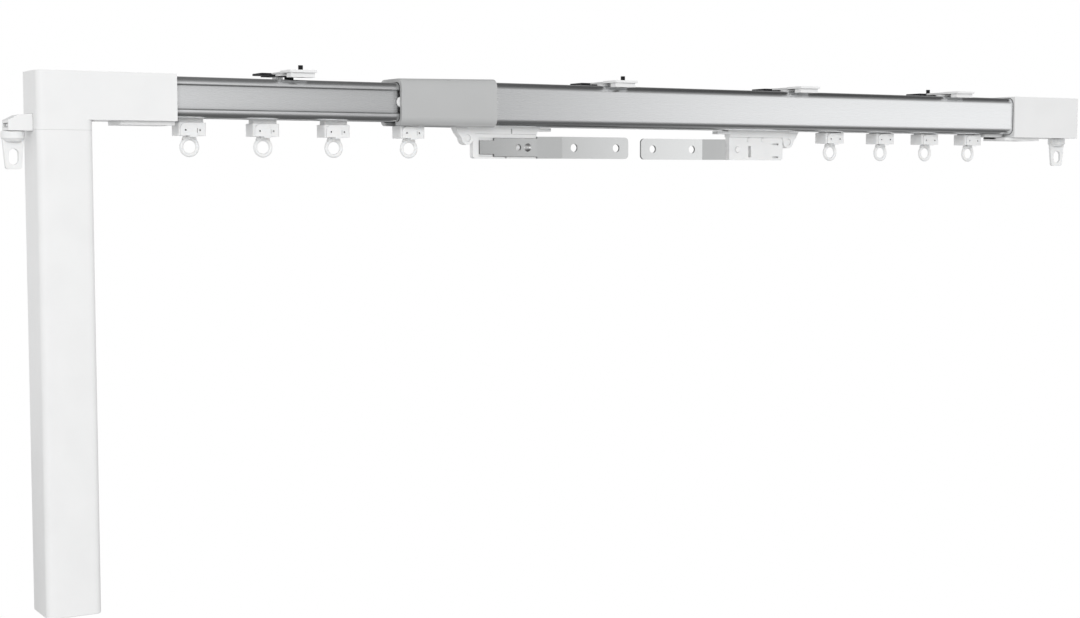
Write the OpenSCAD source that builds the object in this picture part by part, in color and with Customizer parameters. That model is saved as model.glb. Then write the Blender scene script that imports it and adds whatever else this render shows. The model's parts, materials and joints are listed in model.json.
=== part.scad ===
// Telescopic electric curtain track that hangs under a ceiling on four brackets.
// Millimetres, +Z up. +X runs along the track away from the motor, -Y is the room side.
// The origin is on the ceiling plane over the first bracket, on the centre line of the rails.
// Stations along the track are counted from the outer end of the drive box.

/* [Ceiling brackets] */
// Station of the bracket on the narrow rail
first_bracket_x = 163; // [140:1:172]
// Stations of the brackets on the wide rail
bracket_x = [402, 563, 717]; // [360:1:730]
// Thickness of a bracket plate
plate_t = 1.6; // [1.2:0.1:2.4]
// Width of a bracket plate along the track
plate_w = 18; // [17:0.5:22]
// Reach of a bracket plate in front of its screw hole
plate_front = 5.5; // [5:0.1:8]
// Width of the tongue of a plate over the rails
tongue_w = 9; // [8.5:0.5:11]
// Distance from the side of the wide rail to a screw hole
hole_reach = 3.8; // [3.6:0.1:6]
// Height of the boss under the front of a plate
boss_h = 2.9; // [2.6:0.1:4]
// Radius of a fixing screw
screw_r = 1.5; // [1.25:0.05:1.75]
// Length of a fixing screw above the plate
screw_stub = 3; // [2:0.5:8]

/* [Latch levers] */
// Thickness of a lever
lever_t = 1.2; // [0.8:0.1:2]
// Gap over and under a lever
latch_gap = 0.35; // [0.3:0.05:0.6]
// Reach of a lever's handle behind the centre line of the rails
lever_reach = 32; // [28:1:40]
// Width of a lever's handle
lever_w = 7; // [5:0.5:9]
// Thickness of the foot under a lever
latch_foot_t = 1.7; // [1.2:0.1:2.2]

/* [Rails] */
// Depth of the wide rail
wide_d = 30; // [28:0.5:34]
// Height of the wide rail
wide_h = 28.8; // [28:0.2:34]
// Corner radius of the wide rail
wide_r = 5; // [4:0.5:6]
// Corner radius of the narrow rail
narrow_r = 3.8; // [3.4:0.1:5]
// Wall of the wide rail
rail_wall = 1.6; // [1.3:0.1:2]
// Gap between the nested rails
nest_gap = 0.4; // [0.3:0.05:0.6]
// Height of the ribs over and under the side recess of the narrow rail
rib_h = 5.2; // [4:0.1:6.5]
// Depth of the side recess of the narrow rail
recess = 1.5; // [1.3:0.1:1.8]
// Wall behind the side recess
web_t = 1.4; // [1:0.1:1.8]
// Width of the bottom slot of the wide rail
slot_w = 10; // [9.6:0.2:11]
// Thickness of the ribs beside the bottom slot
slot_rib_t = 1.2; // [0.8:0.1:1.6]
// Width of the top slot of the narrow rail
t_slot_w = 13; // [12:0.2:14]
// Wall of the trough in the top of the wide rail
trough_t = 1.1; // [0.9:0.1:1.4]
// Length of the narrow rail
narrow_l = 370; // [340:1:420]

/* [Joining sleeve] */
// Station of the sleeve
sleeve_x = 234; // [226:1:250]
// Length of the sleeve
sleeve_l = 70; // [60:1:80]
// Length of the sleeve that is left over the narrow rail alone
sleeve_lip = 18; // [12:1:24]
// Wall of the sleeve at its mouth
sleeve_wall = 1.2; // [1:0.1:1.6]
// Wall of the sleeve at its wide end
sleeve_end_wall = 2; // [1.6:0.1:2.6]

/* [Drive box and motor] */
// Length of the drive box
box_l = 84; // [78:1:84]
// Width of the motor tube along the track
motor_w = 33; // [32:0.5:36]
// Length of the motor tube under the drive box
motor_l = 288; // [280:1:330]
// Depth of the skirt of the drive box over the motor
skirt_h = 6; // [5:0.5:10]
// Wall of the casings
case_wall = 1.6; // [1.3:0.1:2]
// Floor of the casings
floor_t = 2; // [1.6:0.1:2.6]
// Upright corner radius of the drive box and of the motor tube
case_r = 4.5; // [3:0.5:6]
// Gap between the casings and the rails
seat_gap = 0.4; // [0.3:0.05:0.6]

/* [End box] */
// Station of the end box
end_x = 776.5; // [774:0.5:800]
// Length of the end box
end_l = 72.5; // [70:0.5:90]
// Upright corner radius of the end box
end_r = 3; // [2.5:0.5:5]

/* [Belt drive] */
// Width of the belt
belt_w = 9; // [6:0.5:9.5]
// Thickness of the belt
belt_t = 1.4; // [1:0.1:1.6]
// Number of teeth on a pulley
pulley_teeth = 18; // [12:1:22]
// Radius of the shaft and of the axle
shaft_r = 2.5; // [2:0.1:2.8]

/* [Gliders and rings] */
// Distances of the gliders on the motor side from the drive box
left_glider_gap = [13, 61, 109.2, 162.7]; // [11:0.1:176]
// Stations of the gliders on the far side
right_glider_x = [601.4, 651.3, 697, 742.6]; // [590:0.1:743]
// Length of a glider along the track
glider_l = 17.6; // [16:0.2:18]
// Depth of a glider
glider_d = 14.4; // [13:0.1:16]
// Height of a glider
glider_h = 8; // [7:0.1:10]
// Gap between a glider and the track under its foot
glide_gap = 0.15; // [0.1:0.05:0.3]
// Radius of a ring at the middle of its wire
ring_r = 5.1; // [4.6:0.1:7]
// Gap between a glider and the ring under it
ring_gap = 0.4; // [0.4:0.1:2]
// Radius of the wire of a ring
wire_r = 1.2; // [1:0.1:1.6]

/* [Master carriers] */
// Station of the outer end of the carrier on the motor side
left_carrier_x = 279.5; // [272:0.5:284]
// Station of the outer end of the carrier on the far side
right_carrier_x = 568.5; // [564:0.5:576]
// Length of a carrier
carrier_l = 74; // [72:0.5:80]
// Height of the flange of a carrier
flange_h = 4.2; // [3.5:0.1:5]
// Thickness of the plate of a carrier
carrier_t = 4.8; // [4:0.1:6]
// Height of the plate of a carrier under its flange
carrier_h = 16.6; // [16.2:0.1:20]
// Thickness of a steel arm
arm_t = 1.5; // [1.2:0.1:1.8]
// Height of the flat end of a steel arm
arm_h = 14.9; // [14:0.1:15.2]
// Sideways step of a steel arm
arm_step = 7.6; // [6:0.1:9]
// Length of the flat end of a steel arm
arm_flat = 53.7; // [50:0.1:56]
// Radius of the holes in a steel arm
arm_hole_r = 2.75; // [1.5:0.05:3]

/* [End hooks] */
// Radius of the collar of a hook
collar_r = 6.8; // [6:0.1:7.2]
// Length of a hook under its seat
hook_l = 22; // [20:0.5:28]
// Thickness of the tag of a hook
tag_t = 3; // [2.5:0.1:4]
// Width of the eye in the tag
eye_w = 5.6; // [5.2:0.1:6]
// Turn of the hook under the end box
right_hook_turn = -18; // [-30:1:30]
// Width of the arm that carries the hook beside the motor
hook_arm_w = 15; // [14:0.5:20]

/* [Hidden] */
$fn = 64;

white = [0.93, 0.94, 0.94];
grey = [0.72, 0.73, 0.74];
metal = [0.75, 0.76, 0.78];
dark = [0.12, 0.12, 0.13];
brass = [0.75, 0.62, 0.32];
green = [0.1, 0.35, 0.2];

// clearances shared by all fits
cut = 0.5;           // overshoot of a cutting body
seat = 0.1;          // beside parts that are slid into each other and stay put
run_fit = 0.05;      // round a turning shaft
turn_gap = 0.3;      // between faces that turn past each other
slide_gap = 0.6;     // beside parts that run in the rails

// levels from the ceiling down
wide_top = -(plate_t + lever_t + 2 * latch_gap);
wide_bottom = wide_top - wide_h;
wide_mid = (wide_top + wide_bottom) / 2;
nest = rail_wall + nest_gap;
narrow_top = wide_top - nest;
narrow_bottom = wide_bottom + nest;
narrow_mid = wide_mid;
narrow_h = wide_h - 2 * nest;
narrow_d = wide_d - 2 * nest;
track_z = narrow_bottom + rail_wall;
thin_roof = 0.9;
roof_gap = 0.3;
box_top = narrow_top + roof_gap + thin_roof;
box_bottom = narrow_bottom - seat_gap - floor_t;
seam_z = box_bottom - skirt_h;
motor_bottom = seam_z - motor_l;
end_top = wide_top + roof_gap + thin_roof;
end_bottom = wide_bottom - seat_gap - floor_t;
case_d = wide_d + 2 * (seat_gap + case_wall);
base_t = 2.4;

// openings in the rails
trough_w = t_slot_w - 2 * nest_gap;
latch_foot_d = trough_w - 2 * trough_t - 0.8;
top_slot_w = latch_foot_d - 2.4;
first_foot_d = t_slot_w + 5;
t_cavity_w = first_foot_d + 2;
t_lip = 1.5;
t_cavity_h = latch_foot_t + 1.5;
t_floor = 1.4;
trough_z = narrow_top - t_lip - t_cavity_h + nest_gap;
cavity_top = narrow_top - t_lip - t_cavity_h - t_floor;
cavity_w = narrow_d - 2 * (recess + web_t);
narrow_slot_w = slot_w + 2 * (slot_rib_t + nest_gap);

// stations along the track
narrow_x0 = box_l - 14;
narrow_x1 = narrow_x0 + narrow_l;
wide_x0 = sleeve_x + sleeve_lip;
wide_x1 = end_x + 10;
drive_x = motor_w / 2;
idler_x = end_x + 36;
left_glider_x = [for (gap = left_glider_gap) box_l + gap];

// parts that run inside the rails
foot_bottom = track_z + glide_gap;
foot_h = 4.3;
foot_top = foot_bottom + foot_h;
foot_w = cavity_w - 2 * slide_gap;
neck_w = slot_w - 2;
under_gap = 0.7;
hang_z = wide_bottom - under_gap;

// belt loop and pulleys
jaw_t = 1.3;
grip_gap = 0.3;
pitch_r = cavity_w / 2 - slide_gap - jaw_t - grip_gap - belt_t / 2;
belt_z = (cavity_top + foot_top) / 2;
belt_in_r = pitch_r - belt_t / 2;
belt_out_r = pitch_r + belt_t / 2;
pulley_r = belt_in_r - 0.1;
flange_t = 1.2;
flange_r = belt_out_r + 0.8;
pulley_h = belt_w + 2 * (0.4 + flange_t);
pulley_top = belt_z + pulley_h / 2;
pulley_bottom = belt_z - pulley_h / 2;
bearing_r = 2.2 * shaft_r;
bearing_t = 3.6;
mount_h = 9;
mount_top = seam_z + 3;
gearbox_r = min(motor_w, case_d) / 2 - 3;
gearbox_h = 44;
dc_motor_r = gearbox_r - 1.3;
dc_motor_h = 70;
tube_in_w = motor_w - 2 * case_wall;
tube_in_d = case_d - 2 * case_wall;
tube_in_r = case_r - case_wall;

// end hooks
ledge_t = 1.8;
hook_arm_l = 14.2;
hook_arm_top = seam_z + 9.4;
hook_arm_bottom = seam_z - 0.6;
left_hook_x = -10;
hook_inset = 7.5;
right_hook_x = end_x + end_l - hook_inset;
stem_r = shaft_r;
stem_head_r = stem_r + 1.1;
stem_head_t = 1.6;
stem_l = max(floor_t, ledge_t) + 2 * turn_gap;

// row position of a station
function at(x) = x - first_bracket_x;

module round_rect(w, h, r) {
  square([w - 2 * r, h], center = true);
  square([w, h - 2 * r], center = true);
  for (x = [-1, 1], y = [-1, 1])
    translate([x * (w / 2 - r), y * (h / 2 - r)])
      circle(r);
}

// box between two limits on each axis
module slab(x, y, z) {
  translate([x[0], y[0], z[0]])
    cube([x[1] - x[0], y[1] - y[0], z[1] - z[0]]);
}

module rod(r, z0, z1) {
  translate([0, 0, z0])
    cylinder(r = r, h = z1 - z0);
}

// section drawn in Y and Z, run from one station to another
module along_x(x0, x1) {
  translate([at(x0), 0, 0])
    rotate([90, 0, 90])
      linear_extrude(x1 - x0)
        children();
}

// outline drawn in X and Z, run from the front face y0 back to y1
module along_y(y0, y1) {
  translate([0, y1, 0])
    rotate([90, 0, 0])
      linear_extrude(y1 - y0)
        children();
}

// screw with its head under z = 0 and its shank above
module cap_screw(r, head_r, head_h, shank) {
  rod(head_r, -head_h, 0);
  rod(r, -head_h, shank);
}

// rails

module wide_section() {
  difference() {
    translate([0, wide_mid])
      round_rect(wide_d, wide_h, wide_r);
    translate([0, wide_mid])
      round_rect(wide_d - 2 * rail_wall, wide_h - 2 * rail_wall, wide_r - rail_wall);
    translate([-top_slot_w / 2, wide_top - rail_wall - cut])
      square([top_slot_w, rail_wall + 2 * cut]);
    translate([-slot_w / 2, wide_bottom - cut])
      square([slot_w, rail_wall + 2 * cut]);
  }
  for (side = [-1, 1])
    translate([side * (slot_w + slot_rib_t) / 2, (wide_bottom + track_z) / 2])
      square([slot_rib_t, track_z - wide_bottom], center = true);
  difference() {
    translate([-trough_w / 2, trough_z])
      square([trough_w, wide_top - rail_wall / 2 - trough_z]);
    translate([-trough_w / 2 + trough_t, trough_z + trough_t])
      square([trough_w - 2 * trough_t, wide_top - rail_wall - trough_z - trough_t]);
    translate([-top_slot_w / 2, trough_z + trough_t])
      square([top_slot_w, wide_top - trough_z]);
  }
}

module narrow_section() {
  difference() {
    translate([0, narrow_mid])
      round_rect(narrow_d, narrow_h, narrow_r);
    for (side = [-1, 1])
      translate([side * narrow_d / 2, narrow_mid])
        square([2 * recess, narrow_h - 2 * rib_h], center = true);
    translate([-cavity_w / 2, track_z])
      square([cavity_w, cavity_top - track_z]);
    translate([-narrow_slot_w / 2, narrow_bottom - cut])
      square([narrow_slot_w, rail_wall + 2 * cut]);
    translate([-t_cavity_w / 2, narrow_top - t_lip - t_cavity_h])
      square([t_cavity_w, t_cavity_h]);
    translate([-t_slot_w / 2, narrow_top - t_lip - cut])
      square([t_slot_w, t_lip + 2 * cut]);
  }
}

module narrow_rail() {
  color(metal)
    along_x(narrow_x0, narrow_x1)
      narrow_section();
}

module wide_rail() {
  color(metal)
    along_x(wide_x0, wide_x1)
      wide_section();
}

// hole that a rail is slid into, with its own gap over the rail
module rail_hole(d, h, r, mid, gap, top_gap) {
  translate([0, mid + (top_gap - gap) / 2])
    round_rect(d + 2 * gap, h + gap + top_gap, r + gap);
}

// joining sleeve

module sleeve_end(x, wall_y, over, under) {
  along_x(x, x + seat)
    translate([0, wide_mid + (over - under) / 2])
      round_rect(wide_d + 2 * wall_y, wide_h + over + under, wide_r + wall_y / 2, $fn = 32);
}

module joining_sleeve() {
  tunnel_w = glider_d + 1.4;
  color(grey)
    difference() {
      hull() {
        sleeve_end(sleeve_x, sleeve_wall, 0.8, 0.6);
        sleeve_end(sleeve_x + sleeve_l - seat, sleeve_end_wall, 2, 1);
      }
      along_x(sleeve_x - cut, wide_x0 + cut)
        rail_hole(narrow_d, narrow_h, narrow_r, narrow_mid, nest_gap, nest_gap);
      along_x(wide_x0 - seat, sleeve_x + sleeve_l + cut)
        rail_hole(wide_d, wide_h, wide_r, wide_mid, seat, seat);
      slab(
        [at(sleeve_x) - cut, at(sleeve_x + sleeve_l) + cut],
        [-tunnel_w / 2, tunnel_w / 2],
        [wide_bottom - 2 * sleeve_end_wall, narrow_mid]
      );
    }
}

module sleeve_guides() {
  guide_r = 3.5;
  guide_in = 1.5;
  inner_y = narrow_d / 2 - recess + turn_gap;
  outer_y = narrow_d / 2 + nest_gap;
  color(white)
    for (side = [0, 180])
      translate([at(sleeve_x + guide_in), 0, narrow_mid])
        rotate([0, 0, side])
          rotate([90, 0, 0])
            rod(guide_r, inner_y, outer_y);
}

// ceiling brackets

hole_y = wide_d / 2 + hole_reach;
screw_head_r = 1.8 * screw_r;
screw_head_h = 1.33 * screw_r;
screw_neck_r = 0.8 * screw_r;
rear_boss_r = screw_r + 2;
boss_bottom = -(plate_t + boss_h);

module bracket_plate() {
  hole_r = screw_r + 0.2;
  rail_gap = 0.5;
  edge = 1;
  boss_inset = 1.9;
  front_y = -hole_y - plate_front;
  pad_back = -wide_d / 2 + 8;
  difference() {
    union() {
      translate([0, 0, -plate_t])
        linear_extrude(plate_t) {
          translate([0, (front_y + pad_back) / 2])
            round_rect(plate_w, pad_back - front_y, edge);
          translate([-tongue_w / 2, pad_back - edge])
            square([tongue_w, hole_y - pad_back + edge]);
          translate([0, hole_y])
            circle(tongue_w / 2);
        }
      slab(
        [-plate_w / 2 + edge, plate_w / 2 - edge],
        [front_y + boss_inset, -wide_d / 2 - rail_gap],
        [boss_bottom, -plate_t / 2]
      );
      translate([0, hole_y, 0])
        rod(rear_boss_r, boss_bottom, -plate_t / 2);
    }
    rod(stem_r + run_fit, -plate_t - cut, cut);
    for (side = [-1, 1])
      translate([0, side * hole_y, 0])
        rod(hole_r, boss_bottom - cut, cut);
    translate([0, -hole_y, 0])
      rod(screw_head_r + seat, boss_bottom - cut, boss_bottom + screw_head_h + seat);
  }
}

// fixing screw: sunk in the front boss, or under the small rear boss.
// Its neck is thinner than its thread, which starts at the ceiling.
module fixing_screw(front) {
  head_top = front ? boss_bottom + screw_head_h : boss_bottom;
  translate([0, front ? -hole_y : hole_y, 0]) {
    rod(screw_head_r, head_top - screw_head_h, head_top);
    rod(screw_neck_r, head_top - screw_head_h / 2, screw_stub / 2);
    rod(screw_r, 0, screw_stub);
  }
}

// The lever's handle steps up past the turning plate, close under the ceiling.
module latch(foot_d, bar_w, lip_z) {
  lever_top = -(plate_t + latch_gap);
  handle_in = max(rear_boss_r + 2.5, tongue_w / 2 + 0.5);
  crank_y = 14;
  hub_r = handle_in + 3;
  neck_r = top_slot_w / 2 - 0.5;
  foot_top_z = lip_z - latch_gap;
  tip_r = lever_w / 2;
  rod(stem_r, lever_top - lever_t, -turn_gap);
  rod(neck_r, foot_top_z - latch_foot_t, lever_top);
  translate([0, 0, lever_top - lever_t])
    linear_extrude(lever_t) {
      circle(hub_r);
      translate([-handle_in - lever_w, 0])
        square([lever_w, crank_y + lever_t]);
    }
  slab(
    [-handle_in - lever_w, -handle_in],
    [crank_y, crank_y + lever_t],
    [lever_top - lever_t, -turn_gap]
  );
  translate([-handle_in - lever_w, 0, -turn_gap - lever_t])
    linear_extrude(lever_t) {
      translate([0, crank_y])
        square([lever_w, lever_reach - tip_r - crank_y]);
      translate([tip_r, lever_reach - tip_r])
        circle(tip_r);
    }
  intersection() {
    rod(foot_d / 2, foot_top_z - latch_foot_t, foot_top_z);
    translate([0, 0, foot_top_z])
      cube([bar_w, 2 * foot_d, 4 * latch_foot_t], center = true);
  }
}

module first_bracket_plate() {
  color(white)
    bracket_plate();
}

module first_bracket_screw() {
  color(dark)
    fixing_screw(true);
}

module first_bracket_latch() {
  color(dark)
    latch(first_foot_d, t_slot_w - 1, narrow_top - t_lip);
}

module bracket_plates() {
  color(white)
    for (x = bracket_x)
      translate([at(x), 0, 0])
        bracket_plate();
}

module bracket_screws() {
  color(dark) {
    translate([at(bracket_x[0]), 0, 0])
      fixing_screw(true);
    translate([at(bracket_x[2]), 0, 0])
      fixing_screw(false);
  }
}

module wide_latch(x) {
  color(dark)
    translate([at(x), 0, 0])
      latch(latch_foot_d, top_slot_w - 1, wide_top - rail_wall);
}

module second_bracket_latch() {
  wide_latch(bracket_x[0]);
}

module third_bracket_latch() {
  wide_latch(bracket_x[1]);
}

module fourth_bracket_latch() {
  wide_latch(bracket_x[2]);
}

// drive box

mouth_t = 6;
notch_w = hook_arm_w - 4;
ledge_top = hook_arm_bottom + ledge_t;
base_screw_r = 1.2;
base_head_r = 2.2;
base_head_h = 1;
base_screw_y = 9;
base_x0 = motor_w + 17;
base_screw_x = [base_x0 + 6, box_l - 6];
base_w = 26;

// plan of a casing: square at one end, rounded uprights at the other
module case_plan(l, w, r) {
  translate([r, -w / 2])
    square([l - r, w]);
  translate([0, -w / 2 + r])
    square([l, w - 2 * r]);
  for (side = [-1, 1])
    translate([r, side * (w / 2 - r)])
      circle(r);
}

module case_block(l, w, r, z0, z1) {
  translate([0, 0, z0])
    linear_extrude(z1 - z0)
      case_plan(l, w, r);
}

module tube_block(w, d, r, z0, z1) {
  translate([drive_x, 0, z0])
    linear_extrude(z1 - z0)
      round_rect(w, d, r);
}

module drive_box_shell() {
  roof_z = box_top - case_wall;
  boss_z = pulley_top + 0.5;
  fillet = 2.4;
  color(white)
    difference() {
      translate([at(0), 0, 0])
        union() {
          difference() {
            union() {
              case_block(box_l, case_d, case_r, box_bottom, box_top);
              tube_block(motor_w, case_d, case_r, seam_z, box_bottom + case_wall);
              difference() {
                slab(
                  [motor_w - case_r, motor_w + fillet],
                  [-case_d / 2 + case_r, case_d / 2 - case_r],
                  [box_bottom - fillet, box_bottom + seat]
                );
                translate([motor_w + fillet, 0, box_bottom - fillet])
                  rotate([90, 0, 0])
                    cylinder(r = fillet, h = 2 * case_d, center = true);
              }
            }
            translate([case_wall, 0, 0])
              case_block(
                box_l - case_wall - mouth_t, tube_in_d, tube_in_r, box_bottom + floor_t, roof_z
              );
            tube_block(tube_in_w, tube_in_d, tube_in_r, seam_z - cut, box_bottom + floor_t + cut);
          }
          translate([drive_x, 0, 0])
            rod(bearing_r + 2, boss_z, roof_z + seat);
        }
      translate([at(drive_x), 0, 0])
        rod(bearing_r + seat / 4, boss_z - cut, boss_z + bearing_t + seat);
      translate([at(drive_x), 0, 0])
        rod(shaft_r + turn_gap, boss_z, boss_z + bearing_t + 0.8);
      along_x(narrow_x0 - seat_gap, box_l + cut)
        rail_hole(narrow_d, narrow_h, narrow_r, narrow_mid, seat_gap, roof_gap);
      slab(
        [at(0) - cut, at(case_wall) + cut],
        [-notch_w / 2, notch_w / 2],
        [seam_z - cut, ledge_top + seat]
      );
      for (x = base_screw_x, side = [-1, 1])
        translate([at(x), side * base_screw_y, 0])
          rod(base_screw_r + run_fit, box_bottom - cut, box_bottom + floor_t + cut);
    }
}

module base_plate(x0, x1, w, top, screws) {
  difference() {
    translate([at((x0 + x1) / 2), 0, top - base_t])
      linear_extrude(base_t)
        round_rect(x1 - x0, w, 2);
    for (x = screws, side = [-1, 1])
      translate([at(x), side * base_screw_y, top - base_t]) {
        rod(base_screw_r + seat, -cut, base_t + cut);
        rod(base_head_r + seat, -cut, base_head_h);
      }
  }
}

module base_screws(top, screws) {
  for (x = screws, side = [-1, 1])
    translate([at(x), side * base_screw_y, top - base_t + base_head_h])
      cap_screw(base_screw_r, base_head_r, base_head_h, base_t - base_head_h + floor_t - 0.4);
}

module drive_box_base() {
  color(white)
    base_plate(base_x0, box_l, base_w, box_bottom, base_screw_x);
}

module drive_box_screws() {
  color(metal)
    base_screws(box_bottom, base_screw_x);
}

// motor tube and what it holds

module motor_housing() {
  color(white)
    translate([at(0), 0, 0])
      difference() {
        tube_block(motor_w, case_d, case_r, motor_bottom, seam_z);
        tube_block(tube_in_w, tube_in_d, tube_in_r, motor_bottom - cut, seam_z + cut);
      }
}

cap_h = 11;
cap_floor = 2.5;
cap_bottom = motor_bottom + 1.5;
button_x = drive_x - 7;
button_r = 3;
inlet_x = drive_x + 6;
inlet_w = 6;
inlet_d = 10;
inlet_h = 8;

module motor_bottom_cap() {
  wall = 1.6;
  w = tube_in_w - 2 * seat;
  d = tube_in_d - 2 * seat;
  r = tube_in_r;
  color(white)
    translate([at(0), 0, 0])
      difference() {
        union() {
          difference() {
            tube_block(w, d, r, cap_bottom, cap_bottom + cap_h);
            tube_block(
              w - 2 * wall, d - 2 * wall, r - wall / 2, cap_bottom + cap_floor, cap_bottom + cap_h + cut
            );
          }
          slab(
            [inlet_x - inlet_w / 2 - wall, inlet_x + inlet_w / 2 + wall],
            [-inlet_d / 2 - wall, inlet_d / 2 + wall],
            [cap_bottom, cap_bottom + inlet_h + wall]
          );
        }
        slab(
          [inlet_x - inlet_w / 2, inlet_x + inlet_w / 2],
          [-inlet_d / 2, inlet_d / 2],
          [cap_bottom - cut, cap_bottom + inlet_h]
        );
        translate([button_x, 0, 0])
          rod(button_r + 0.1, cap_bottom - cut, cap_bottom + cap_floor + cut);
      }
}

module set_button() {
  color(grey)
    translate([at(button_x), 0, 0]) {
      rod(button_r, cap_bottom - 1.2, cap_bottom + cap_floor + turn_gap);
      rod(button_r + 1.2, cap_bottom + cap_floor + seat, cap_bottom + cap_floor + 1.2);
    }
}

module motor_mount() {
  color(grey)
    translate([at(0), 0, 0])
      difference() {
        tube_block(
          tube_in_w - 2 * seat, tube_in_d - 2 * seat, tube_in_r, mount_top - mount_h, mount_top
        );
        translate([drive_x, 0, 0])
          rod(bearing_r + seat / 4, mount_top - bearing_t - seat, mount_top + cut);
        translate([drive_x, 0, 0])
          rod(shaft_r + turn_gap, mount_top - mount_h - cut, mount_top);
      }
}

module shaft_bearings() {
  low = mount_top - bearing_t;
  high = pulley_top + 0.5;
  color(metal)
    translate([at(drive_x), 0, 0])
      for (z = [low, high])
        difference() {
          rod(bearing_r, z, z + bearing_t);
          rod(shaft_r + run_fit, z - cut, z + bearing_t + cut);
        }
}

module gearbox() {
  top = mount_top - mount_h;
  color(metal)
    translate([at(drive_x), 0, 0])
      difference() {
        union() {
          rod(gearbox_r, top - gearbox_h, top);
          rod(gearbox_r + 0.6, top - 4, top - 1);
        }
        rod(shaft_r + run_fit, top - 12, top + cut);
      }
}

module dc_motor() {
  top = mount_top - mount_h - gearbox_h;
  color(dark)
    translate([at(drive_x), 0, 0]) {
      rod(dc_motor_r, top - dc_motor_h, top);
      rod(dc_motor_r / 3, top - dc_motor_h - 4, top - dc_motor_h);
    }
}

// control board: a plate with three blocks and a pair of round cans
board_gap = 14;
board_t = 1.6;
board_y = 8;
board_l = 112;
block_w = [18, 22, 12];
block_t = [14, 9, 3];
block_h = [20, 18, 16];
block_z = [14, 40, 88];
can_r = 4;
can_h = 13;
can_x = 7;
can_z = 72;

module control_board() {
  top = mount_top - mount_h - gearbox_h - dc_motor_h - board_gap;
  half = tube_in_w / 2 - 2 * seat;
  color(green)
    translate([at(drive_x), 0, top]) {
      slab([-half, half], [board_y, board_y + board_t], [-board_l, 0]);
      for (i = [0 : len(block_w) - 1])
        slab(
          [-block_w[i] / 2, block_w[i] / 2],
          [board_y - block_t[i], board_y + seat],
          [-block_z[i] - block_h[i], -block_z[i]]
        );
      for (side = [-1, 1])
        translate([side * can_x, board_y + seat, -can_z])
          rotate([90, 0, 0])
            rod(can_r, 0, can_h);
    }
}

// belt drive

module pulley(bore) {
  tooth_w = PI * pulley_r / pulley_teeth;
  tooth_h = 0.7;
  difference() {
    union() {
      translate([0, 0, pulley_bottom + flange_t / 2])
        linear_extrude(pulley_h - flange_t)
          difference() {
            circle(pulley_r);
            for (i = [0 : pulley_teeth - 1])
              rotate(i * 360 / pulley_teeth)
                translate([pulley_r - tooth_h, -tooth_w / 2])
                  square([2 * tooth_h, tooth_w]);
          }
      rod(flange_r, pulley_bottom, pulley_bottom + flange_t);
      rod(flange_r, pulley_top - flange_t, pulley_top);
    }
    rod(bore, pulley_bottom - cut, pulley_top + cut);
  }
}

module drive_pulley() {
  color(white)
    translate([at(drive_x), 0, 0])
      pulley(shaft_r + seat / 4);
}

module drive_shaft() {
  color(metal)
    translate([at(drive_x), 0, 0])
      rod(shaft_r, mount_top - mount_h - 10, pulley_top + bearing_t);
}

bush_r = shaft_r + 1.5;

module idler_pulley() {
  color(white)
    translate([at(idler_x), 0, 0])
      pulley(bush_r + seat / 4);
}

module idler_bush() {
  color(brass)
    translate([at(idler_x), 0, 0])
      difference() {
        rod(bush_r, pulley_bottom, pulley_top);
        rod(shaft_r + run_fit, pulley_bottom - cut, pulley_top + cut);
      }
}

module loop_plan(r) {
  translate([0, -r])
    square([idler_x - drive_x, 2 * r]);
  circle(r);
  translate([idler_x - drive_x, 0])
    circle(r);
}

module drive_belt() {
  color(dark)
    translate([at(drive_x), 0, belt_z - belt_w / 2])
      linear_extrude(belt_w)
        difference() {
          loop_plan(belt_out_r);
          loop_plan(belt_in_r);
        }
}

// end box

axle_boss_r = shaft_r + 2;
end_screw_x = [end_x + 8, end_x + 27];
end_base_x = [end_x - 5.5, end_x + 32.5];
end_mouth = 4;

module end_box_shell() {
  roof_z = end_top - case_wall;
  floor_z = end_bottom + floor_t;
  color(white)
    difference() {
      translate([at(end_x + end_l), 0, 0])
        mirror([1, 0, 0])
          difference() {
            case_block(end_l, case_d, end_r, end_bottom, end_top);
            translate([case_wall, 0, 0])
              difference() {
                case_block(
                  end_l - case_wall - end_mouth, tube_in_d, end_r - case_wall, floor_z, roof_z
                );
                translate([end_l - case_wall - idler_x + end_x, 0, 0]) {
                  rod(axle_boss_r, pulley_top + 0.4, roof_z + cut);
                  rod(axle_boss_r, floor_z - cut, pulley_bottom - 0.4);
                }
              }
          }
      translate([at(idler_x), 0, 0])
        rod(shaft_r + seat / 4, end_bottom + 0.5, roof_z + 0.5);
      along_x(end_x - cut, wide_x1 + seat_gap)
        rail_hole(wide_d, wide_h, wide_r, wide_mid, seat_gap - seat, roof_gap);
      translate([at(right_hook_x), 0, 0])
        rod(stem_r + run_fit, end_bottom - cut, floor_z + cut);
      for (x = end_screw_x, side = [-1, 1])
        translate([at(x), side * base_screw_y, 0])
          rod(base_screw_r + run_fit, end_bottom - cut, floor_z + cut);
    }
}

module end_box_base() {
  color(white)
    base_plate(end_base_x[0], end_base_x[1], base_w, end_bottom, end_screw_x);
}

clamp_x = [end_x - 21.5, end_x - 1];
clamp_w = 12;
clamp_bottom = end_bottom + 0.2;
clamp_screw_x = [clamp_x[0] + 8, clamp_x[0] + 13.5];
clamp_key_h = 4.5;

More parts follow.
